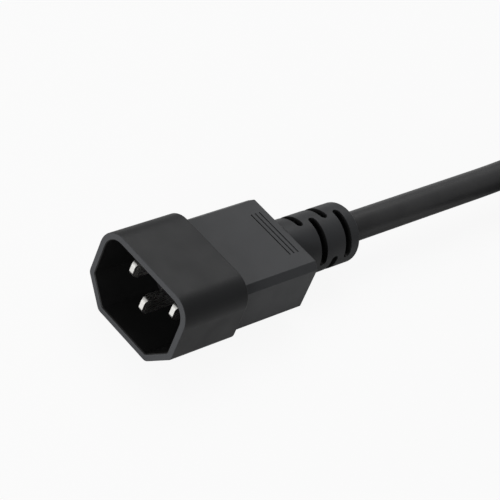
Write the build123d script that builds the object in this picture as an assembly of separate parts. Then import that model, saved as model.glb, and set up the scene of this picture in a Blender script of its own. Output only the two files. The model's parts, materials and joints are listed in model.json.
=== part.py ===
from build123d import *
import math
import os

# A one metre power cord with moulded ends. The male plug has a hooded front with three flat
# pins. A slotted strain relief holds the cord behind it. The rest of the cord is folded into a
# strapped hank, and ends in the female connector that the plug's own shape mates with.
# All sizes are in millimetres. Each end is drawn with its face at y = 0 and its axis on the
# Y axis, and is moved to its place at the end.

# Hood of the plug
hood_width = 29.0
hood_height = 20.7
hood_length = 18.6
hood_wall = 1.65
hood_corner = 5.6
hood_edge = 1.8
rim_round = 0.25
rear_round = 0.4
mouth_bevel = 0.2
cut_across = 6.1
cut_up = 6.3
cavity_depth = 16.5

# Handle body behind the hood
body_flat = 21.5
body_bevel = 1.45
body_height = 14.73
body_low_bevel = 2.0
body_corner_round = 0.25
body_rear_round = 0.4
plug_body_end = 42.4
body_back_wall = 4.4
groove_count = 3
groove_pitch = 1.28
groove_width = 0.35
groove_depth = 0.25
groove_length = 13.8
groove_inset = 2.2

# Strain relief, with two slots in each ring
relief_diameter = 14.5
relief_length = 20.9
relief_edge = 0.6
slot_rings = 4
slot_pitch = 4.03
slot_width = 2.05
slot_first = 4.95
slot_floor = 0.6
slot_start = -9.0
slot_sweep = 102.0

# Cord and its three cores
cord_diameter = 7.3
insulation_diameter = 2.4
copper_diameter = 1.3
core_circle = 1.42

# Pins, contacts and the blocks that hold them
pin_thick = 2.0
pin_wide = 4.0
pin_spacing = 14.0
pin_row_up = 1.75
earth_drop = 4.0
pin_tip = 1.35
pin_tip_thick = 1.15
pin_tip_round = 1.3
pin_reach = 12.3
earth_extra = 1.4
shank_length = 4.6
barrel_diameter = 3.2
barrel_length = 5.0
strip_length = 4.2
flange_thick = 1.5
tang_width = 20.0
tang_height = 10.4
tang_edge = 1.0
contact_wall = 0.55
contact_play = 0.05
contact_length = 11.0
contact_seam = 0.4
chamber_play = 0.12
entry_play = 0.2
entry_depth = 1.4
bend_straight = 2.0

# Female connector
mating_clearance = 0.7
nose_length = 16.0
nose_edge = 0.6
nose_edge_margin = 0.02
grip_width = 27.3
grip_height = 18.7
grip_corner = 4.2
grip_length = 19.5
grip_waist = 1.4
grip_ribs = 4
grip_rib_pitch = 2.6
grip_rib_width = 0.9
grip_rib_depth = 0.45
grip_round = 0.8
connector_back_wall = 5.5

# Hank and its straps
hank_straight = 37.0
hank_turn_inside = 21.9
hank_layers = 2
hank_columns = 2
hank_edge = 3.0
hank_near = 120.0
connector_gap = 0.6
strap_thick = 1.0
strap_width = 10.0
strap_play = 0.1

# Places that follow from the sizes above
plug_length = plug_body_end + relief_length
plug_axis = hood_height / 2
body_width = body_flat + 2 * body_bevel
relief_radius = relief_diameter / 2
cord_radius = cord_diameter / 2
plug_tang_end = plug_body_end - body_back_wall
connector_body_end = nose_length + grip_length
connector_tang_end = connector_body_end - connector_back_wall
connector_length = connector_body_end + relief_length
connector_axis = grip_height / 2
hank_turn_outside = hank_turn_inside + (hank_columns - 1) * cord_diameter
hank_inner_radius = hank_turn_inside - cord_radius
hank_outer_radius = hank_turn_outside + cord_radius
hank_height = hank_layers * cord_diameter
hank_far = hank_near + hank_straight
stub_reach = math.sqrt(hank_outer_radius**2 - (hank_turn_outside - cord_radius) ** 2) + 0.5
relief_reach = math.sqrt(hank_outer_radius**2 - (hank_turn_outside - relief_radius) ** 2)
connector_face = hank_far + relief_reach + connector_gap + connector_length
pin_places = {
    "line": (-pin_spacing / 2, pin_row_up, 0.0),
    "neutral": (pin_spacing / 2, pin_row_up, 0.0),
    "earth": (0.0, pin_row_up - earth_drop, earth_extra),
}
contact_places = {name: (-x, z, extra) for name, (x, z, extra) in pin_places.items()}
core_angles = {"line": 150.0, "neutral": 30.0, "earth": 270.0}


def across(y):
    """The plane that faces the front of an end, y behind its face."""
    return Plane(origin=(0, y, 0), x_dir=(1, 0, 0), z_dir=(0, -1, 0))


def prism(sketch, start, end):
    return extrude(across(start) * sketch, -(end - start))


def hood_section(inset, least_edge=0.3):
    """The hood's six-sided outline, moved in by inset, with lower corners of at least least_edge."""
    x, z = hood_width / 2 - inset, hood_height / 2 - inset
    legs = cut_across * cut_up - inset * (cut_across + cut_up - math.hypot(cut_across, cut_up))
    leg_x, leg_z = legs / cut_up, legs / cut_across
    outline = Polyline(
        (-x, z), (x, z), (x, leg_z - z), (x - leg_x, -z), (leg_x - x, -z), (-x, leg_z - z), close=True
    )
    face = make_face(outline)
    upper = face.vertices().filter_by(lambda v: v.Y > 0)
    face = fillet(upper, hood_corner - inset)
    lower = face.vertices().filter_by(lambda v: v.Y < leg_z - z + 0.01)
    return fillet(lower, max(hood_edge - inset / 2, least_edge))


def body_section():
    """The body's outline, with a small bevel at each top corner and a larger one below."""
    x, z = body_width / 2, body_height / 2
    face = make_face(
        Polyline(
            (body_bevel - x, z),
            (x - body_bevel, z),
            (x, z - body_bevel),
            (x, body_low_bevel - z),
            (x - body_low_bevel, -z),
            (body_low_bevel - x, -z),
            (-x, body_low_bevel - z),
            (-x, z - body_bevel),
            close=True,
        )
    )
    return fillet(face.vertices(), body_corner_round)


def tang_section():
    return RectangleRounded(tang_width, tang_height, tang_edge)


def plug_overmould():
    """Hood, body, the pocket for the pin carrier and the bore for the cord, in one moulding."""
    flange_end = cavity_depth + flange_thick
    hood = prism(hood_section(0), 0, hood_length)
    hood = fillet(hood.faces().sort_by(Axis.Y)[0].edges(), rim_round)
    hood = fillet(hood.faces().sort_by(Axis.Y)[-1].edges(), rear_round)
    body = prism(body_section(), hood_length, plug_body_end)
    body = fillet(body.faces().sort_by(Axis.Y)[-1].edges(), body_rear_round)
    solid = hood + body
    cavity = prism(hood_section(hood_wall), -mouth_bevel, flange_end)
    mouth = loft(
        [
            across(-mouth_bevel) * hood_section(hood_wall - 2 * mouth_bevel),
            across(mouth_bevel) * hood_section(hood_wall),
        ]
    )
    solid -= cavity + mouth
    solid -= prism(tang_section(), flange_end, plug_tang_end)
    solid -= prism(Circle(cord_radius), plug_tang_end, plug_body_end)
    for i in range(groove_count):
        y = plug_body_end - groove_inset - i * groove_pitch
        solid -= Pos(0, y, body_height / 2) * Box(groove_length, groove_width, 2 * groove_depth)
    return solid


def relief_slot(y, start):
    """A slot round part of the sleeve with round ends; angles run from the top towards +X."""
    low, high = cord_radius + slot_floor, relief_radius + 1
    middle, half = (low + high) / 2, slot_width / 2
    end_angle = math.degrees(half / relief_radius)
    band = revolve(
        Pos(middle, y, 0) * Rectangle(high - low, slot_width),
        Axis.Y,
        revolution_arc=slot_sweep - 2 * end_angle,
    )
    cutter = Rot(0, start + end_angle - 90, 0) * band
    for angle in (start + end_angle, start + slot_sweep - end_angle):
        end = Pos(middle, y, 0) * Rot(0, 90, 0) * Cylinder(half, high - low)
        cutter += Rot(0, angle - 90, 0) * end
    return cutter


def strain_relief(start):
    """A sleeve round the cord, from start backwards; its slots let it bend evenly."""
    sleeve = prism(Circle(relief_radius), start, start + relief_length)
    sleeve = fillet(sleeve.edges().sort_by(Axis.Y)[-1], relief_edge)
    sleeve -= prism(Circle(cord_radius), start, start + relief_length)
    for ring in range(slot_rings):
        quarter = 0 if ring % 2 else 90
        for side in (0, 180):
            sleeve -= relief_slot(start + slot_first + ring * slot_pitch, slot_start - quarter + side)
    return sleeve


def crimp(start, x, z):
    """The shank and crimp barrel at the back of a pin or contact, which begin at start."""
    barrel_start = start + shank_length
    shank = Pos(x, start + shank_length / 2, z) * Box(pin_thick, shank_length, pin_thick)
    barrel = Pos(x, 0, z) * prism(Circle(barrel_diameter / 2), barrel_start, barrel_start + barrel_length)
    bore = Pos(x, 0, z) * prism(
        Circle(copper_diameter / 2), barrel_start + barrel_length - strip_length, barrel_start + barrel_length
    )
    return shank + barrel - bore


def pin(x, z, extra):
    """A flat pin, round at its corners and thinner at its tip; extra is its longer reach."""
    tip, end = cavity_depth - pin_reach - extra, cavity_depth + flange_thick
    blade = prism(Rectangle(pin_thick, pin_wide), tip, end)
    front = blade.faces().sort_by(Axis.Y)[0]
    blade = fillet(front.edges().filter_by(Axis.X), pin_tip_round)
    half, half_tip = pin_thick / 2, pin_tip_thick / 2
    plan = Polyline(
        (-half_tip, tip),
        (half_tip, tip),
        (half, tip + pin_tip),
        (half, end),
        (-half, end),
        (-half, tip + pin_tip),
        close=True,
    )
    blade &= extrude(make_face(plan), pin_wide, both=True)
    return Pos(x, 0, z) * blade + crimp(end, x, z)


def contact(x, z):
    """A rolled female contact with an open seam, which grips a pin."""
    start = entry_depth
    inner_x, inner_z = pin_thick + 2 * contact_play, pin_wide + 2 * contact_play
    outer = Rectangle(inner_x + 2 * contact_wall, inner_z + 2 * contact_wall)
    seam = Pos(inner_x / 2, 0) * Rectangle(2 * contact_wall, contact_seam)
    sleeve = outer - Rectangle(inner_x, inner_z) - seam
    floor = prism(outer, start + contact_length, start + contact_length + contact_wall)
    rolled = Pos(x, 0, z) * (prism(sleeve, start, start + contact_length) + floor)
    return rolled + crimp(start + contact_length + contact_wall, x, z)


def corner_radii(points):
    """The largest radius that each corner's two runs leave room for."""
    points = [Vector(*p) for p in points]
    radii = []
    for before, corner, after in zip(points, points[1:], points[2:]):
        run_in, run_out = corner - before, after - corner
        half_turn = math.radians(run_in.get_angle(run_out)) / 2
        radii.append(0.45 * min(run_in.length, run_out.length) / math.tan(half_turn))
    return radii


def core(start, bare, end, x, z, core_x, core_z):
    """One core from its crimp to its place in the cord's cut end: (copper, insulation)."""
    points = [
        (x, bare, z),
        (x, bare + bend_straight, z),
        (core_x, end - bend_straight, core_z),
        (core_x, end, core_z),
    ]
    path = FilletPolyline(*points, radius=corner_radii(points))
    copper = Pos(x, 0, z) * prism(Circle(copper_diameter / 2), start, bare)
    ring = Circle(insulation_diameter / 2) - Circle(copper_diameter / 2)
    plane = Plane(origin=points[0], x_dir=(1, 0, 0), z_dir=(0, 1, 0))
    copper += sweep(plane * Circle(copper_diameter / 2), path)
    return copper, sweep(plane * ring, path)


def cores(places, crimp_start, end):
    """The three cores of one end, as {name: (copper, insulation)}."""
    made = {}
    bare = crimp_start + shank_length + barrel_length
    for name, (x, z, _) in places.items():
        side = math.copysign(1, x * pin_places[name][0])
        core_x = side * core_circle * math.cos(math.radians(core_angles[name]))
        core_z = core_circle * math.sin(math.radians(core_angles[name]))
        made[name] = core(bare - strip_length, bare, end, x, z, core_x, core_z)
    return made


def pin_carrier(pins, wires):
    """The hard block whose front is the cavity floor; it is moulded round the pins and cores."""
    flange_end = cavity_depth + flange_thick
    block = prism(hood_section(hood_wall), cavity_depth, flange_end)
    block += prism(tang_section(), flange_end, plug_tang_end)
    for piece in [*pins.values(), *(part for pair in wires.values() for part in pair)]:
        block -= piece
    return block


def contact_block(contacts, wires):
    """The connector's nose, with an entry and a chamber for each contact."""
    outline = hood_section(hood_wall + mating_clearance, nose_edge + nose_edge_margin)
    block = prism(outline, 0, nose_length)
    block = chamfer(block.faces().sort_by(Axis.Y)[0].edges(), nose_edge)
    block += prism(tang_section(), nose_length, connector_tang_end)
    chamber_x = pin_thick + 2 * (contact_play + contact_wall + chamber_play)
    chamber_z = pin_wide + 2 * (contact_play + contact_wall + chamber_play)
    chamber_end = entry_depth + contact_length + contact_wall
    for x, z, _ in contact_places.values():
        entry = Rectangle(pin_thick + 2 * entry_play, pin_wide + 2 * entry_play)
        block -= Pos(x, 0, z) * prism(entry, 0, entry_depth)
        block -= Pos(x, 0, z) * prism(Rectangle(chamber_x, chamber_z), entry_depth, chamber_end)
    for piece in [*contacts.values(), *(part for pair in wires.values() for part in pair)]:
        block -= piece
    return block


def connector_overmould():
    """The grip behind the nose, waisted at the sides and ribbed for the fingers."""
    grip = prism(RectangleRounded(grip_width, grip_height, grip_corner), nose_length, connector_body_end)
    ends = grip.faces().filter_by(Axis.Y)
    grip = fillet(ends[0].edges() + ends[1].edges(), grip_round)
    middle = nose_length + grip_length / 2
    waist_radius = (grip_length**2 / 4 + grip_waist**2) / (2 * grip_waist)
    for side in (-1, 1):
        waist_x = side * (grip_width / 2 - grip_waist + waist_radius)
        grip -= Pos(waist_x, middle, 0) * Cylinder(waist_radius, grip_height + 1)
        for i in range(grip_ribs):
            rib_y = middle + (i - (grip_ribs - 1) / 2) * grip_rib_pitch
            rib = Box(2 * (grip_waist + grip_rib_depth), grip_rib_width, grip_height - 2 * grip_corner)
            grip -= Pos(side * grip_width / 2, rib_y, 0) * rib
    grip -= prism(tang_section(), nose_length, connector_tang_end)
    return grip - prism(Circle(cord_radius), connector_tang_end, connector_body_end)


def straight_cord(start, end, height):
    return Pos(0, 0, height) * prism(Circle(cord_radius), start, end)


def hank():
    """The outer shape of the folded cord: a long ring, with its first and last turns leaving it."""
    outline = SlotCenterToCenter(hank_straight, 2 * hank_outer_radius)
    outline -= SlotCenterToCenter(hank_straight, 2 * hank_inner_radius)
    ring = extrude(Rot(0, 0, 90) * outline, hank_height)
    rims = ring.edges().group_by(Axis.Z)
    ring = fillet(rims[0] + rims[-1], hank_edge)
    ring = Pos(hank_turn_outside, (hank_near + hank_far) / 2, strap_thick) * ring
    ring += straight_cord(hank_near - stub_reach, hank_near, plug_axis)
    return ring + straight_cord(hank_far, hank_far + stub_reach, connector_axis)


def strap(side):
    """A hook-and-loop strap round one run of the hank; side is -1 for the run at the plug's line."""
    bundle = hank_outer_radius - hank_inner_radius
    inside = RectangleRounded(bundle + 2 * strap_play, hank_height + 2 * strap_play, hank_edge)
    outside = RectangleRounded(
        bundle + 2 * strap_play + 2 * strap_thick,
        hank_height + 2 * strap_thick + 2 * strap_play,
        hank_edge + strap_thick,
    )
    middle_y = (hank_near + hank_far) / 2
    x = hank_turn_outside + side * (hank_inner_radius + hank_outer_radius) / 2
    band = prism(outside - inside, middle_y - strap_width / 2, middle_y + strap_width / 2)
    return Pos(x, 0, strap_thick + hank_height / 2 + strap_play) * band


def build():
    """Every piece in its place, as {node name: solid}."""
    to_plug = Pos(0, -plug_length / 2, plug_axis)
    to_connector = Pos(0, connector_face, connector_axis) * Rot(0, 0, 180)
    pins = {name: pin(*place) for name, place in pin_places.items()}
    contacts = {name: contact(x, z) for name, (x, z, _) in contact_places.items()}
    plug_cores = cores(pin_places, cavity_depth + flange_thick, plug_tang_end)
    contact_end = entry_depth + contact_length + contact_wall
    connector_cores = cores(contact_places, contact_end, connector_tang_end)
    nodes = {
        "plug_overmould": to_plug * plug_overmould(),
        "plug_pin_carrier": to_plug * pin_carrier(pins, plug_cores),
        "plug_strain_relief": to_plug * strain_relief(plug_body_end),
        "connector_overmould": to_connector * connector_overmould(),
        "connector_contact_block": to_connector * contact_block(contacts, connector_cores),
        "connector_strain_relief": to_connector * strain_relief(connector_body_end),
    }
    for name in pin_places:
        nodes[f"{name}_pin"] = to_plug * pins[name]
        nodes[f"{name}_contact"] = to_connector * contacts[name]
        nodes[f"plug_{name}_copper"] = to_plug * plug_cores[name][0]
        nodes[f"plug_{name}_insulation"] = to_plug * plug_cores[name][1]
        nodes[f"connector_{name}_copper"] = to_connector * connector_cores[name][0]
        nodes[f"connector_{name}_insulation"] = to_connector * connector_cores[name][1]
    cord_start = plug_tang_end - plug_length / 2
    nodes["cord_at_plug"] = straight_cord(cord_start, hank_near - stub_reach, plug_axis)
    nodes["cord_hank"] = hank()
    nodes["cord_at_connector"] = straight_cord(
        hank_far + stub_reach, connector_face - connector_tang_end, connector_axis
    )
    nodes["hank_strap_left"] = strap(-1)
    nodes["hank_strap_right"] = strap(1)
    return nodes


os.makedirs("parts", exist_ok=True)
for node, shape in build().items():
    export_step(shape, f"parts/{node}.step")
    if node in ("cord_at_plug", "cord_at_connector"):
        box = shape.bounding_box()
        expected = math.pi * cord_radius**2 * box.size.Y
        print(node, "is straight, volume", round(shape.volume, 1), "of", round(expected, 1), "mm3")
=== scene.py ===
# %% [markdown]
# A moulded power cord, dressed for a studio picture. The plug, its pins and both strain reliefs
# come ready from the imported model. This script gives them their finishes, lays the cord as one
# smooth line, winds its spare length into a hank and sets up a camera and soft lights.

# %% Load the fixed frame
import json
import math

import bmesh
import bpy
from mathutils import Matrix, Vector


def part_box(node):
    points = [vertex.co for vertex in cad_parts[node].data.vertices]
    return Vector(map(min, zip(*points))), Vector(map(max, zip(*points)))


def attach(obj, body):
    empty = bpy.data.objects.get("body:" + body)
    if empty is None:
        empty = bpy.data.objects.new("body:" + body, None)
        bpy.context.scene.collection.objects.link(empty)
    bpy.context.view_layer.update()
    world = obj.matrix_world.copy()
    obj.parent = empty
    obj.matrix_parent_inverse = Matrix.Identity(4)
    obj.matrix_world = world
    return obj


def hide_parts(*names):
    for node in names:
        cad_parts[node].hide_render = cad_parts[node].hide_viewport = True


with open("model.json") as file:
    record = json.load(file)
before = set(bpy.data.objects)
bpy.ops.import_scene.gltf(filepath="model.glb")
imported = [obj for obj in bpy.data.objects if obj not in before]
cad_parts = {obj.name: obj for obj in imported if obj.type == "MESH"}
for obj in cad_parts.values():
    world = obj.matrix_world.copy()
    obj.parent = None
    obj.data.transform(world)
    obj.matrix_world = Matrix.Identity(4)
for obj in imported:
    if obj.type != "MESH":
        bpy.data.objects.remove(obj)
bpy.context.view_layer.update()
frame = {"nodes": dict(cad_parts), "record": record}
nodes = frame["nodes"]
MM = 0.001

# %% [markdown]
# The camera looks down on the plug's open face from its right. It is a long lens from far away,
# rolled by about 24 degrees. The place, the two angles and the roll were worked out from
# the printed sizes on the photograph.

# %% Camera
FACE_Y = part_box("plug_overmould")[0][1]
CAMERA_PLACE = (0.19146, FACE_Y - 0.25781, 0.27965)
CAMERA_TURN = 33.397
CAMERA_DOWN = 37.304
CAMERA_ROLL = 23.917
CAMERA_LENS = 141.97
CAMERA_NEAR = 0.01


def make_camera():
    """The axes are built from the direction of view, then rolled about it."""
    turn = math.radians(CAMERA_TURN)
    down = math.radians(CAMERA_DOWN)
    ahead = Vector((-math.sin(turn) * math.cos(down), math.cos(turn) * math.cos(down), -math.sin(down)))
    level = ahead.cross(Vector((0, 0, 1))).normalized()
    axes = Matrix((level, level.cross(ahead), -ahead)).transposed()
    axes = Matrix.Rotation(math.radians(CAMERA_ROLL), 3, -ahead) @ axes
    data = bpy.data.cameras.new("camera")
    data.lens = CAMERA_LENS
    data.clip_start = CAMERA_NEAR
    camera = bpy.data.objects.new("camera", data)
    camera.matrix_world = Matrix.Translation(CAMERA_PLACE) @ axes.to_4x4()
    bpy.context.scene.collection.objects.link(camera)
    bpy.context.scene.camera = camera
    return camera


camera = make_camera()
print(camera.name, "at", [round(x, 3) for x in CAMERA_PLACE], "with a lens of", CAMERA_LENS, "mm")

# %% [markdown]
# Materials are node trees. The helpers below start one with plain values on the shader's own
# sockets, and make the few nodes that every pattern needs. The patterns read object coordinates,
# which every piece has, so the grain has the same size on all of them. Noise seldom leaves
# the range from 0.3 to 0.7, so that range is stretched to the full change.

# %% Material helpers
NOISE_RANGE = (0.3, 0.7)
FINE_DETAIL = 3.0
SOFT_DETAIL = 2.0


def new_material(name, colour, roughness, metallic=0.0, specular=0.5):
    """Gives the material, its node tree and its shader."""
    material = bpy.data.materials.new(name)
    material.use_nodes = True
    shader = material.node_tree.nodes["Principled BSDF"]
    shader.inputs["Base Color"].default_value = (*colour, 1)
    shader.inputs["Roughness"].default_value = roughness
    shader.inputs["Metallic"].default_value = metallic
    shader.inputs["Specular IOR Level"].default_value = specular
    return material, material.node_tree, shader


def noise_of(tree, size, detail=FINE_DETAIL, stretch=(1, 1, 1)):
    """Noise with features about size metres across, stretched along the axes."""
    place = tree.nodes.new("ShaderNodeTexCoord")
    mapping = tree.nodes.new("ShaderNodeMapping")
    mapping.inputs["Scale"].default_value = [1 / (size * s) for s in stretch]
    tree.links.new(place.outputs["Object"], mapping.inputs["Vector"])
    noise = tree.nodes.new("ShaderNodeTexNoise")
    noise.inputs["Scale"].default_value = 1.0
    noise.inputs["Detail"].default_value = detail
    tree.links.new(mapping.outputs["Vector"], noise.inputs["Vector"])
    return noise.outputs["Fac"]


def coordinate(tree, axis):
    """The X, Y or Z of the shaded point."""
    place = tree.nodes.new("ShaderNodeTexCoord")
    split = tree.nodes.new("ShaderNodeSeparateXYZ")
    tree.links.new(place.outputs["Object"], split.inputs["Vector"])
    return split.outputs[axis]


def calculated(tree, operation, *values):
    """The result of one math node. Each value is a number or another node's output."""
    node = tree.nodes.new("ShaderNodeMath")
    node.operation = operation
    for socket, value in zip(node.inputs, values):
        if isinstance(value, (int, float)):
            socket.default_value = value
        else:
            tree.links.new(value, socket)
    return node.outputs["Value"]


def ranged(tree, value, low, high, span=NOISE_RANGE):
    """A number that goes from low to high while the value crosses the span."""
    node = tree.nodes.new("ShaderNodeMapRange")
    node.inputs["From Min"].default_value = span[0]
    node.inputs["From Max"].default_value = span[1]
    node.inputs["To Min"].default_value = low
    node.inputs["To Max"].default_value = high
    tree.links.new(value, node.inputs["Value"])
    return node.outputs["Result"]


def blended(tree, value, dark, light, span=NOISE_RANGE):
    """A colour that goes from dark to light while the value crosses the span."""
    ramp = tree.nodes.new("ShaderNodeValToRGB")
    for stop, position, colour in zip(ramp.color_ramp.elements, span, (dark, light)):
        stop.position = position
        stop.color = (*colour, 1)
    tree.links.new(value, ramp.inputs["Fac"])
    return ramp.outputs["Color"]


def bump_to(tree, shader, height, depth, before=None):
    """Raises the shading by height times depth, on top of an earlier bump if there is one."""
    bump = tree.nodes.new("ShaderNodeBump")
    bump.inputs["Distance"].default_value = depth
    tree.links.new(height, bump.inputs["Height"])
    if before:
        tree.links.new(before, bump.inputs["Normal"])
    tree.links.new(bump.outputs["Normal"], shader.inputs["Normal"])
    return bump.outputs["Normal"]


# %% [markdown]
# A spark-eroded mould leaves a fine even grain on soft plastic. Two sizes of noise make it:
# a fine one for the grain, and a slow one for the cloudy change in colour and gloss. The block
# that holds the pins is the darkest and most matt, and the cord's jacket is smoother.

# %% Black plastics
CLOUD_SIZE = 6 * MM


def grained_plastic(name, dark, light, roughness, spread, grain, depth, specular):
    """Roughness varies by spread to both sides; grain and depth are in metres."""
    material, tree, shader = new_material(name, light, roughness, specular=specular)
    cloud = noise_of(tree, CLOUD_SIZE, SOFT_DETAIL)
    tree.links.new(blended(tree, cloud, dark, light), shader.inputs["Base Color"])
    gloss = ranged(tree, cloud, roughness - spread, roughness + spread)
    tree.links.new(gloss, shader.inputs["Roughness"])
    bump_to(tree, shader, noise_of(tree, grain, SOFT_DETAIL), depth)
    return material


BLACK_INSERT = grained_plastic(
    "matt black insert",
    dark=(0.010, 0.010, 0.011),
    light=(0.014, 0.014, 0.015),
    roughness=0.55,
    spread=0.05,
    grain=0.3 * MM,
    depth=0.01 * MM,
    specular=0.15,
)
BLACK_JACKET = grained_plastic(
    "black cord jacket",
    dark=(0.034, 0.034, 0.035),
    light=(0.041, 0.041, 0.042),
    roughness=0.40,
    spread=0.02,
    grain=0.5 * MM,
    depth=0.004 * MM,
    specular=0.15,
)
print("made", BLACK_INSERT.name, "and", BLACK_JACKET.name)

# %% [markdown]
# The inside of the hood and the floors of the slots get painted shade: a nearly black colour
# stands in for the shade that falls in these recesses. Two masks find them, and both look at the
# straight line from the cord's axis to the shaded point. Inside the hood the surface normal points
# back along that line. In a slot the line is shorter than the sleeve's radius. It is shorter on
# the sleeve's two end faces too, so those are left out.

# %% Masks for the painted shade
PLUG_AXIS = 10.35 * MM
CONNECTOR_AXIS = 9.35 * MM
INWARD_LIMIT = -0.5 * MM
SLOT_RADIUS = 7.1 * MM
SLEEVE_END = 0.7 * MM


def from_axis(tree, height):
    """The vector from the axis at this height out to the shaded point, square to the axis."""
    place = tree.nodes.new("ShaderNodeTexCoord")
    moved = tree.nodes.new("ShaderNodeVectorMath")
    moved.operation = "MULTIPLY_ADD"
    moved.inputs[1].default_value = (1, 0, 1)
    moved.inputs[2].default_value = (0, 0, -height)
    tree.links.new(place.outputs["Object"], moved.inputs[0])
    return moved.outputs["Vector"]


def inward_facing(tree, height):
    """1 where the surface faces the axis."""
    geometry = tree.nodes.new("ShaderNodeNewGeometry")
    product = tree.nodes.new("ShaderNodeVectorMath")
    product.operation = "DOT_PRODUCT"
    tree.links.new(geometry.outputs["Normal"], product.inputs[0])
    tree.links.new(from_axis(tree, height), product.inputs[1])
    return calculated(tree, "LESS_THAN", product.outputs["Value"], INWARD_LIMIT)


def inside_slots(tree, height, relief):
    """1 where the point is closer to the axis than the sleeve, but not on the sleeve's ends."""
    length = tree.nodes.new("ShaderNodeVectorMath")
    length.operation = "LENGTH"
    tree.links.new(from_axis(tree, height), length.inputs[0])
    low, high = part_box(relief)
    y = coordinate(tree, "Y")
    close = calculated(tree, "LESS_THAN", length.outputs["Value"], SLOT_RADIUS)
    after_start = calculated(tree, "GREATER_THAN", y, low[1] + SLEEVE_END)
    before_end = calculated(tree, "LESS_THAN", y, high[1] - SLEEVE_END)
    return calculated(tree, "MULTIPLY", calculated(tree, "MULTIPLY", close, after_start), before_end)


print("slots lie within", round(SLOT_RADIUS / MM, 2), "mm of the axis")

# %% [markdown]
# One moulding shows three tones. The hood is polished and dark, and its rim is painted paler, a
# painted highlight that stands in for the light from the front. The handle behind it is a little
# paler, because its mould was left rougher. Hood and handle each grow a little paler towards the
# rear, which is painted light from the lamp behind. The inside is painted shade, nearly black. The
# tone along the moulding follows the Y coordinate, and the mask paints shade on the rest. The two
# strain reliefs have one tone and painted shade in their slots, and the connector's grip is plain
# grained vinyl.

# %% Moulded vinyl in three tones
HOOD_LENGTH = 18.6 * MM
HOOD_END = FACE_Y + HOOD_LENGTH
BODY_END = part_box("plug_overmould")[1][1]
TONE_STEP = 0.2 * MM
# The rim's paler grey is a painted highlight, standing in for the light from the front.
RIM_PAINTED_LIGHT = 0.06
# Each pair grows paler towards the rear: painted light from the lamp behind.
HOOD_TONES = (0.013, 0.015)
BODY_TONES = (0.042, 0.048)
RELIEF_TONE = 0.034
COOL_TINT = (0.97, 1.0, 1.06)
# The nearly black colour that the masks paint as shade inside the hood and in the slots.
INNER_PAINTED_SHADE = (0.008, 0.008, 0.008)
VINYL_CLOUD_SIZE = 5 * MM
VINYL_CLOUD_SHARE = 0.15
VINYL_ROUGHNESS = (0.42, 0.5)
VINYL_MEAN_ROUGHNESS = 0.46
VINYL_SPECULAR = 0.16
VINYL_GRAIN = 0.22 * MM
VINYL_BUMP = 0.012 * MM


def tones_along_cord(tree, tones):
    """A colour that follows Y through (y, grey) pairs, a little cooler than plain grey."""
    low, high = tones[0][0], tones[-1][0]
    ramp = tree.nodes.new("ShaderNodeValToRGB")
    stops = ramp.color_ramp.elements
    while len(stops) < len(tones):
        stops.new(0.5)
    for stop, (y, grey) in zip(stops, tones):
        stop.position = (y - low) / (high - low)
        stop.color = (*[share * grey for share in COOL_TINT], 1)
    tree.links.new(ranged(tree, coordinate(tree, "Y"), 0.0, 1.0, (low, high)), ramp.inputs["Fac"])
    return ramp.outputs["Color"]


def moulded_vinyl(name, tones, darker):
    """tones are (y, grey) pairs along the cord; darker makes the mask where shade is painted."""
    grey = tones[0][1]
    material, tree, shader = new_material(
        name, (grey, grey, grey), VINYL_MEAN_ROUGHNESS, specular=VINYL_SPECULAR
    )
    cloud = noise_of(tree, VINYL_CLOUD_SIZE, SOFT_DETAIL)
    uneven = tree.nodes.new("ShaderNodeMix")
    uneven.data_type = "RGBA"
    uneven.blend_type = "MULTIPLY"
    uneven.inputs["Factor"].default_value = VINYL_CLOUD_SHARE
    tree.links.new(tones_along_cord(tree, tones), uneven.inputs["A"])
    tree.links.new(cloud, uneven.inputs["B"])
    # This mix paints shade: where the mask is 1, the nearly black colour replaces the vinyl's own.
    matt = tree.nodes.new("ShaderNodeMix")
    matt.data_type = "RGBA"
    tree.links.new(darker(tree), matt.inputs["Factor"])
    tree.links.new(uneven.outputs["Result"], matt.inputs["A"])
    matt.inputs["B"].default_value = (*INNER_PAINTED_SHADE, 1)
    tree.links.new(matt.outputs["Result"], shader.inputs["Base Color"])
    tree.links.new(ranged(tree, cloud, *VINYL_ROUGHNESS), shader.inputs["Roughness"])
    bump_to(tree, shader, noise_of(tree, VINYL_GRAIN, SOFT_DETAIL), VINYL_BUMP)
    return material


def relief_vinyl(name, relief, height):
    """One tone all along the sleeve, with painted shade in the slots."""
    low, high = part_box(relief)
    tones = [(low[1], RELIEF_TONE), (high[1], RELIEF_TONE)]
    # The slots get painted shade through this mask.
    return moulded_vinyl(name, tones, lambda tree: inside_slots(tree, height, relief))


HOOD_VINYL = moulded_vinyl(
    "satin black vinyl",
    [
        # The first stop is the rim's painted highlight.
        (FACE_Y, RIM_PAINTED_LIGHT),
        (FACE_Y + TONE_STEP, HOOD_TONES[0]),
        (HOOD_END - TONE_STEP, HOOD_TONES[1]),
        (HOOD_END, BODY_TONES[0]),
        (BODY_END, BODY_TONES[1]),
    ],
    # The inside of the hood gets painted shade through this mask.
    lambda tree: inward_facing(tree, PLUG_AXIS),
)
PLUG_RELIEF_VINYL = relief_vinyl("slotted black vinyl", "plug_strain_relief", PLUG_AXIS)
FAR_RELIEF_VINYL = relief_vinyl("far slotted black vinyl", "connector_strain_relief", CONNECTOR_AXIS)
GRIP_VINYL = grained_plastic(
    "grip black vinyl",
    dark=(0.034, 0.035, 0.037),
    light=(0.042, 0.043, 0.045),
    roughness=VINYL_MEAN_ROUGHNESS,
    spread=0.04,
    grain=VINYL_GRAIN,
    depth=VINYL_BUMP,
    specular=VINYL_SPECULAR,
)
print("hood and body along Y, mm:", [round(y / MM, 2) for y in (FACE_Y, HOOD_END, BODY_END)])

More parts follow.
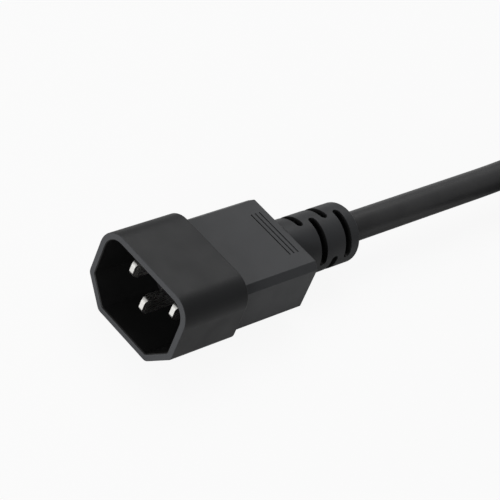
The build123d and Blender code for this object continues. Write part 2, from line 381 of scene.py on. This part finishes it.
# %% [markdown]
# The pins are brass with a bright nickel plate. Stamping and polishing leave fine lines along
# them, so the noise is stretched twelve times along the pin. Contacts and copper get the same
# treatment in their own colours.

# %% Metals
LINE_SIZE = 0.12 * MM
LINE_STRETCH = (1, 12, 1)
LINE_DEPTH = 0.002 * MM
SMOOTHER = 0.05
ROUGHER = 0.06


def drawn_metal(name, dark, light, roughness):
    """Metal with fine lines along Y, in colour, gloss and relief."""
    material, tree, shader = new_material(name, light, roughness, metallic=1.0)
    lines = noise_of(tree, LINE_SIZE, stretch=LINE_STRETCH)
    tree.links.new(blended(tree, lines, dark, light), shader.inputs["Base Color"])
    gloss = ranged(tree, lines, roughness - SMOOTHER, roughness + ROUGHER)
    tree.links.new(gloss, shader.inputs["Roughness"])
    bump_to(tree, shader, lines, LINE_DEPTH)
    return material


NICKEL = drawn_metal("bright nickel", (0.78, 0.77, 0.74), (0.92, 0.91, 0.88), 0.28)
CONTACT_BRASS = drawn_metal("contact brass", (0.62, 0.47, 0.22), (0.78, 0.62, 0.32), 0.3)
COPPER = drawn_metal("bright copper", (0.66, 0.32, 0.18), (0.80, 0.44, 0.28), 0.28)
print("metals:", NICKEL.name, CONTACT_BRASS.name, COPPER.name)

# %% [markdown]
# Inside the mouldings each core has its own colour. Brown and blue are plain. The earth core is
# green with a yellow stripe, which a wave that runs across it draws.

# %% Core insulation
CORE_ROUGHNESS = 0.4
CORE_CLOUD_SIZE = 2 * MM
CORE_GRAIN = 0.4 * MM
CORE_BUMP = 0.004 * MM
STRIPE_SCALE = 0.1 / MM
STRIPE_EDGE = (0.45, 0.55)


def core_plastic(name, dark, light):
    """Smooth insulation in one colour."""
    material, tree, shader = new_material(name, light, CORE_ROUGHNESS)
    cloud = noise_of(tree, CORE_CLOUD_SIZE)
    tree.links.new(blended(tree, cloud, dark, light), shader.inputs["Base Color"])
    bump_to(tree, shader, noise_of(tree, CORE_GRAIN), CORE_BUMP)
    return material


def striped_plastic(name, green, yellow):
    """Smooth insulation with stripes in a second colour."""
    material, tree, shader = new_material(name, green, CORE_ROUGHNESS)
    place = tree.nodes.new("ShaderNodeTexCoord")
    wave = tree.nodes.new("ShaderNodeTexWave")
    wave.inputs["Scale"].default_value = STRIPE_SCALE
    tree.links.new(place.outputs["Object"], wave.inputs["Vector"])
    stripes = blended(tree, wave.outputs["Fac"], green, yellow, STRIPE_EDGE)
    tree.links.new(stripes, shader.inputs["Base Color"])
    return material


BROWN_CORE = core_plastic("brown insulation", (0.16, 0.06, 0.025), (0.22, 0.09, 0.04))
BLUE_CORE = core_plastic("blue insulation", (0.03, 0.12, 0.36), (0.05, 0.17, 0.45))
EARTH_CORE = striped_plastic("earth insulation", (0.05, 0.30, 0.06), (0.75, 0.62, 0.05))
print("cores:", BROWN_CORE.name, BLUE_CORE.name, EARTH_CORE.name)

# %% [markdown]
# The two ties on the hank are woven webbing. Threads cross at right angles, so two waves are
# multiplied: one runs across the band, and one runs round it. The same product sets the colour, as
# painted shade in the hollows between threads, and the height of the bump.

# %% Woven webbing
THREAD_PITCH = 1.1 * MM
THREAD_DEPTH = 0.12 * MM
THREAD_SPAN = (0.1, 0.9)
FUZZ_SIZE = 0.15 * MM
FUZZ_DEPTH = 0.02 * MM
CLOTH_ROUGHNESS = 0.8
CLOTH_SPECULAR = 0.2


def thread_wave(tree, direction, pitch):
    """From -1 to 1 and back, once for each thread, along one direction."""
    place = tree.nodes.new("ShaderNodeTexCoord")
    along = tree.nodes.new("ShaderNodeVectorMath")
    along.operation = "DOT_PRODUCT"
    along.inputs[1].default_value = [2 * math.pi / pitch * share for share in direction]
    tree.links.new(place.outputs["Object"], along.inputs[0])
    return calculated(tree, "SINE", along.outputs["Value"])


def webbing(name, dark, light, pitch):
    """Woven cloth with painted shade between its threads."""
    material, tree, shader = new_material(name, light, CLOTH_ROUGHNESS, specular=CLOTH_SPECULAR)
    across = thread_wave(tree, (0, 1, 0), pitch)
    around = thread_wave(tree, (1, 0, 1), pitch)
    woven = calculated(tree, "MULTIPLY", across, around)
    thread_height_and_painted_shade = calculated(tree, "MULTIPLY_ADD", woven, 0.5, 0.5)
    # The colour from this product is painted shade between the threads.
    tree.links.new(blended(tree, thread_height_and_painted_shade, dark, light, THREAD_SPAN), shader.inputs["Base Color"])
    fuzz = bump_to(tree, shader, noise_of(tree, FUZZ_SIZE), FUZZ_DEPTH)
    bump_to(tree, shader, thread_height_and_painted_shade, THREAD_DEPTH, before=fuzz)
    return material


BLACK_WEBBING = webbing("black webbing", (0.012, 0.012, 0.013), (0.05, 0.05, 0.052), THREAD_PITCH)
print("materials", len(bpy.data.materials))

# %% [markdown]
# The record names a material slot for every piece, and the table below gives each slot its
# finish. The plug's moulding and the two strain reliefs share a slot with the grip, so they get
# their own vinyl afterwards.

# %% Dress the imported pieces
FINISHES = {
    "black_pvc": GRIP_VINYL,
    "black_insert": BLACK_INSERT,
    "black_jacket": BLACK_JACKET,
    "black_strap": BLACK_WEBBING,
    "nickel": NICKEL,
    "contact_brass": CONTACT_BRASS,
    "copper": COPPER,
    "brown_insulation": BROWN_CORE,
    "blue_insulation": BLUE_CORE,
    "earth_insulation": EARTH_CORE,
}
slot_of = {part["node"]: part["material_slot"] for part in frame["record"]["subparts"]}
for name, node in nodes.items():
    node.data.materials.clear()
    node.data.materials.append(FINISHES[slot_of[name]])
nodes["plug_overmould"].data.materials[0] = HOOD_VINYL
nodes["plug_strain_relief"].data.materials[0] = PLUG_RELIEF_VINYL
nodes["connector_strain_relief"].data.materials[0] = FAR_RELIEF_VINYL
print("dressed", len(nodes), "pieces")

# %% [markdown]
# The cord leaves the plug straight and level, as the photograph shows it. Past the picture's
# edge it climbs onto a hank. The hank has seven runs: four on the left, two by two, and three on
# the right. They are joined by half turns, and the last run leaves for the connector. Each half
# turn is a short row of points on a half circle, whose radius and height change on the way, so
# that one turn never cuts another.

# %% The cord's route
CORD_DIAMETER = 7.3 * MM
STRAP_THICK = 1.0 * MM
EXIT = Vector((0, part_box("plug_strain_relief")[1][1], PLUG_AXIS))
CONNECTOR_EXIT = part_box("connector_strain_relief")[0][1]
HANK_NEAR = 120 * MM
HANK_FAR = 157 * MM
INNER_TURN = 21.9 * MM
OUTER_TURN = INNER_TURN + CORD_DIAMETER
MIDDLE_TURN = (INNER_TURN + OUTER_TURN) / 2
LOW_LAYER = STRAP_THICK + CORD_DIAMETER / 2
TOP_LAYER = LOW_LAYER + CORD_DIAMETER
NESTED_LAYER = LOW_LAYER + CORD_DIAMETER * math.sqrt(3) / 2
TURN_STEPS = 10
TUCKED_IN = 2 * MM
LAST_QUARTER = (0.72, 1)
FIRST_HALF = (0.1, 0.6)
SLOW_DROP = (0.1, 0.7)
QUICK_SPREAD = (0, 0.4)


def ease(share, start, end):
    """0 before start, 1 after end, and a smooth climb between them."""
    t = min(max((share - start) / (end - start), 0), 1)
    return t * t * (3 - 2 * t)


def half_turn(far, radius, height, radius_when=(0, 1), height_when=(0, 1)):
    """Points round the far or the near end, clockwise from above."""
    points = []
    step = math.pi / TURN_STEPS
    # A curve of order 3 takes 3/4 of a point and 1/8 of each neighbour, so the points lie outside it.
    fuller = 1 / (0.75 + 0.25 * math.cos(step))
    for i in range(TURN_STEPS + 1):
        share = i / TURN_STEPS
        r = radius[0] + (radius[1] - radius[0]) * ease(share, *radius_when)
        z = height[0] + (height[1] - height[0]) * ease(share, *height_when)
        angle = math.pi - i * step if far else -i * step
        y = HANK_FAR if far else HANK_NEAR
        points.append((OUTER_TURN + r * fuller * math.cos(angle), y + r * fuller * math.sin(angle), z))
    return points


def cord_route():
    """All points, from inside the plug's strain relief to inside the connector's."""
    low, top, nested = LOW_LAYER, TOP_LAYER, NESTED_LAYER
    inner, middle, outer = INNER_TURN, MIDDLE_TURN, OUTER_TURN
    route = [
        (0, EXIT.y - TUCKED_IN, EXIT.z),
        (0, EXIT.y + 20 * MM, EXIT.z),
        (0, EXIT.y + 42 * MM, EXIT.z),
        (0, EXIT.y + 60 * MM, EXIT.z),
        (0, HANK_NEAR - 6 * MM, top),
    ]
    route += half_turn(True, (outer, middle), (top, nested), LAST_QUARTER, LAST_QUARTER)
    route += half_turn(False, (middle, inner), (nested, top), FIRST_HALF, FIRST_HALF)
    route += half_turn(True, (inner, inner), (top, low), height_when=SLOW_DROP)
    route += half_turn(False, (inner, inner), (low, low))
    route += half_turn(True, (inner, outer), (low, low), QUICK_SPREAD)
    route += half_turn(False, (outer, outer), (low, low))
    route += [
        (0, HANK_FAR - 4 * MM, low),
        (0, HANK_FAR + 8 * MM, low),
        (0, CONNECTOR_EXIT - 12 * MM, CONNECTOR_AXIS),
        (0, CONNECTOR_EXIT, CONNECTOR_AXIS),
        (0, CONNECTOR_EXIT + TUCKED_IN, CONNECTOR_AXIS),
    ]
    return route


print("layers at", [round(z / MM, 2) for z in (LOW_LAYER, NESTED_LAYER, TOP_LAYER)], "mm")

# %% [markdown]
# The points become one curve with a round section. It replaces the three plain solids that stand
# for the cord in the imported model, and it rides on the same body.

# %% Lay the cord
STEPS_PER_POINT = 8
SIDES_PER_QUARTER = 8


def make_cord():
    """A smooth curve through the route, closed at both ends."""
    curve = bpy.data.curves.new("cord", "CURVE")
    curve.dimensions = "3D"
    curve.resolution_u = STEPS_PER_POINT
    curve.bevel_depth = CORD_DIAMETER / 2
    curve.bevel_resolution = SIDES_PER_QUARTER
    curve.use_fill_caps = True
    spline = curve.splines.new("NURBS")
    route = cord_route()
    spline.points.add(len(route) - 1)
    for point, place in zip(spline.points, route):
        point.co = (*place, 1)
    spline.order_u = 3
    spline.use_endpoint_u = True
    curve.materials.append(BLACK_JACKET)
    cord = bpy.data.objects.new("cord", curve)
    bpy.context.scene.collection.objects.link(cord)
    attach(cord, "root")
    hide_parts("cord_at_plug", "cord_hank", "cord_at_connector")
    return cord


cord = make_cord()
print("cord points", len(cord.data.splines[0].points))

# %% [markdown]
# Two bands of webbing hold the hank, each drawn tight round the runs that pass through it. A real
# band lies like a rubber band round the cords, and that is a convex hull. So each cord gets
# a short cylinder, the hull goes round them all, and its two ends are cut open. A second layer
# of the same kind, cut off on two sides, is the loose end that is pressed down on the outside.

# %% Bands round the runs
HULL_SIDES = 48
END_NORMAL = 0.5
ALONG_ONLY = 0.01 * MM
LEFT_RUNS = [(x, z) for x in (0, CORD_DIAMETER) for z in (LOW_LAYER, TOP_LAYER)]
RIGHT_RUNS = [
    (OUTER_TURN + INNER_TURN, LOW_LAYER),
    (OUTER_TURN + OUTER_TURN, LOW_LAYER),
    (OUTER_TURN + MIDDLE_TURN, NESTED_LAYER),
]


def hull_band(runs, radius, y_low, y_high):
    """A band round one cylinder on each run, open at its ends and without flat diagonals."""
    shape = bmesh.new()
    lying = Matrix.Rotation(math.pi / 2, 4, "X")
    for x, z in runs:
        place = Matrix.Translation((x, (y_low + y_high) / 2, z)) @ lying
        bmesh.ops.create_cone(
            shape,
            cap_ends=True,
            segments=HULL_SIDES,
            radius1=radius,
            radius2=radius,
            depth=y_high - y_low,
            matrix=place,
        )
    hull = bmesh.ops.convex_hull(shape, input=shape.verts)
    kept = {piece for piece in hull["geom"] if isinstance(piece, bmesh.types.BMFace)}
    spare = [face for face in shape.faces if face not in kept or abs(face.normal.y) > END_NORMAL]
    bmesh.ops.delete(shape, geom=spare, context="FACES")
    slanted = []
    for edge in shape.edges:
        step = edge.verts[0].co - edge.verts[1].co
        if not edge.is_boundary and abs(step.x) + abs(step.z) > ALONG_ONLY:
            slanted.append(edge)
    bmesh.ops.dissolve_edges(shape, edges=slanted, use_verts=False)
    return shape


def loose_end(runs, radius, y_low, y_high, outward):
    """The part of a band that covers the top and the upper part of the outer side."""
    shape = hull_band(runs, radius, y_low, y_high)
    inner_x = min(x for x, z in runs) if outward > 0 else max(x for x, z in runs)
    for place, keep in (((inner_x, 0, 0), (outward, 0, 0)), ((0, 0, LOW_LAYER), (0, 0, 1))):
        everything = shape.verts[:] + shape.edges[:] + shape.faces[:]
        bmesh.ops.bisect_plane(shape, geom=everything, plane_co=place, plane_no=keep, clear_inner=True)
    return shape


print("runs on the left", len(LEFT_RUNS), "and on the right", len(RIGHT_RUNS))

# %% [markdown]
# The band and its loose end become one mesh. A modifier gives it the thickness of the webbing,
# and another one softens its edges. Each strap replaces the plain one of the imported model.

# %% Straps round the hank
STRAP_GAP = 0.05 * MM
FLAP_INSET = 0.6 * MM
STRAP_BEVEL = 0.25 * MM
STRAP_BEVEL_STEPS = 2
STRAP_BEVEL_ANGLE = 50


def wrap_strap(name, node, runs, outward):
    """outward is 1 or -1: the side of the hank on which the loose end lies."""
    low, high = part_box(node)
    radius = CORD_DIAMETER / 2 + STRAP_GAP
    band = hull_band(runs, radius, low[1], high[1])
    flap = loose_end(runs, radius + STRAP_THICK, low[1] + FLAP_INSET, high[1] - FLAP_INSET, outward)
    mesh = bpy.data.meshes.new(name)
    flap.to_mesh(mesh)
    band.from_mesh(mesh)
    for face in band.faces:
        face.smooth = True
    band.to_mesh(mesh)
    band.free()
    flap.free()
    mesh.materials.append(BLACK_WEBBING)
    strap = bpy.data.objects.new(name, mesh)
    bpy.context.scene.collection.objects.link(strap)
    wall = strap.modifiers.new("webbing thickness", "SOLIDIFY")
    wall.thickness = STRAP_THICK - 2 * STRAP_GAP
    wall.offset = 1
    edge = strap.modifiers.new("soft edges", "BEVEL")
    edge.width = STRAP_BEVEL
    edge.segments = STRAP_BEVEL_STEPS
    edge.limit_method = "ANGLE"
    edge.angle_limit = math.radians(STRAP_BEVEL_ANGLE)
    edge.harden_normals = True
    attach(strap, "root")
    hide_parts(node)
    print(name, "has", len(mesh.polygons), "faces before its thickness")
    return strap


left_strap = wrap_strap("left_strap", "hank_strap_left", LEFT_RUNS, -1)
right_strap = wrap_strap("right_strap", "hank_strap_right", RIGHT_RUNS, 1)

# %% [markdown]

# %% [markdown]
# The picture has a plain, nearly white background, and both the ground and the world show it to
# the camera by themselves, so the white doesn't depend on the lamps. To the camera a small share
# of the ground is still a plain pale surface, which keeps a soft shadow under the cord and the
# plug. Light that bounces from the ground finds only that surface. In reflections the ground's glow
# is bright before the plug, and a painted shadow makes it less bright beside it and dark under it.

# %% Ground
FLOOR_SIZE = 3.0
FLOOR_COLOUR = (0.6, 0.6, 0.6)
FLOOR_ROUGHNESS = 0.9
FLOOR_SEEN = 0.92
FLOOR_DROP = 0.1 * MM
OPEN_MIRRORED = 1.0
# The side and under levels paint a shadow into the glow that reflections see.
SIDE_PAINTED_SHADOW = 0.75
UNDER_PAINTED_SHADOW = 0.2
SIDE_EDGE = (13 * MM, 18 * MM)
FRONT_EDGE = (FACE_Y - 2 * MM, FACE_Y + 4 * MM)


def level_by_ray(tree, plain, camera, mirrored):
    """plain for most light, camera for what the camera sees, mirrored for gloss and glass."""
    path = tree.nodes.new("ShaderNodeLightPath")
    level = plain
    for ray, share in (
        ("Is Camera Ray", camera),
        ("Is Glossy Ray", mirrored),
        ("Is Transmission Ray", mirrored),
    ):
        scaled = calculated(tree, "MULTIPLY", path.outputs[ray], share)
        level = calculated(tree, "MAXIMUM", scaled, level)
    return level


def floor_glow_and_painted_shadow(tree):
    """White for the camera, and in reflections a painted shadow, darker under the lead than beside and
    before it.
    """
    to_the_side = calculated(tree, "ABSOLUTE", coordinate(tree, "X"))
    beside = ranged(tree, to_the_side, UNDER_PAINTED_SHADOW, SIDE_PAINTED_SHADOW, SIDE_EDGE)
    in_front = ranged(tree, coordinate(tree, "Y"), OPEN_MIRRORED, UNDER_PAINTED_SHADOW, FRONT_EDGE)
    for_camera = level_by_ray(tree, 0.0, 1.0, 0.0)
    return calculated(tree, "MAXIMUM", in_front, calculated(tree, "MAXIMUM", beside, for_camera))


def make_floor():
    """A large square, lowered a little so that it never meets the plug's underside."""
    floor_mesh = bpy.data.meshes.new("floor")
    shape = bmesh.new()
    lowered = Matrix.Translation((0, 0, -FLOOR_DROP))
    bmesh.ops.create_grid(shape, x_segments=1, y_segments=1, size=FLOOR_SIZE, matrix=lowered)
    shape.to_mesh(floor_mesh)
    shape.free()
    floor = bpy.data.objects.new("floor", floor_mesh)
    bpy.context.scene.collection.objects.link(floor)
    material, tree, shader = new_material("pale floor", FLOOR_COLOUR, FLOOR_ROUGHNESS, specular=0.0)
    glow = tree.nodes.new("ShaderNodeEmission")
    mixed = tree.nodes.new("ShaderNodeMixShader")
    tree.links.new(level_by_ray(tree, 0.0, FLOOR_SEEN, FLOOR_SEEN), mixed.inputs["Fac"])
    tree.links.new(floor_glow_and_painted_shadow(tree), glow.inputs["Strength"])
    tree.links.new(shader.outputs["BSDF"], mixed.inputs[1])
    tree.links.new(glow.outputs["Emission"], mixed.inputs[2])
    tree.links.new(mixed.outputs["Shader"], tree.nodes["Material Output"].inputs["Surface"])
    floor_mesh.materials.append(material)
    return floor


floor = make_floor()
print(floor.name, "lies", round(FLOOR_DROP / MM, 2), "mm under the plug")

# %% [markdown]
# The world gives the room an even, weak light. It looks nearly white to the camera, so that low
# views have the same background, and half as bright in reflections.

# %% World
WORLD_LEVEL = 0.10
WORLD_SEEN = 0.97
WORLD_MIRRORED = 0.45


def make_world():
    """White light, with a strength for each kind of ray."""
    world = bpy.data.worlds.new("studio")
    bpy.context.scene.world = world
    world.use_nodes = True
    tree = world.node_tree
    background = tree.nodes["Background"]
    background.inputs["Color"].default_value = (1, 1, 1, 1)
    strength = level_by_ray(tree, WORLD_LEVEL, WORLD_SEEN, WORLD_MIRRORED)
    tree.links.new(strength, background.inputs["Strength"])
    return world


world = make_world()
print(world.name, "lights with", WORLD_LEVEL, "and looks like", WORLD_SEEN)

# %% [markdown]
# A large soft lamp above and behind lights the tops evenly, and leaves the sides dark. A weaker
# one in front and low down lights the pins, the rim and the near faces. Both point at the plug.

# %% Lamps
PLUG_MIDDLE = Vector((0, 0, PLUG_AXIS))
LAMPS = (
    ("top lamp", (-0.35, 0.25, 0.75), (0.7, 0.7), 5.5),
    ("front lamp", (0.1, -0.55, 0.15), (0.4, 0.25), 2.6),
)


def make_lamp(name, place, size, power):
    """A rectangular lamp, size in metres and power in watts."""
    data = bpy.data.lights.new(name, "AREA")
    data.shape = "RECTANGLE"
    data.size, data.size_y = size
    data.energy = power
    lamp = bpy.data.objects.new(name, data)
    lamp.location = place
    lamp.rotation_euler = (PLUG_MIDDLE - Vector(place)).to_track_quat("-Z", "Y").to_euler()
    bpy.context.scene.collection.objects.link(lamp)


for name, place, size, power in LAMPS:
    make_lamp(name, place, size, power)
    print(name, "with", power, "watts")
bpy.context.scene.view_settings.view_transform = "Standard"
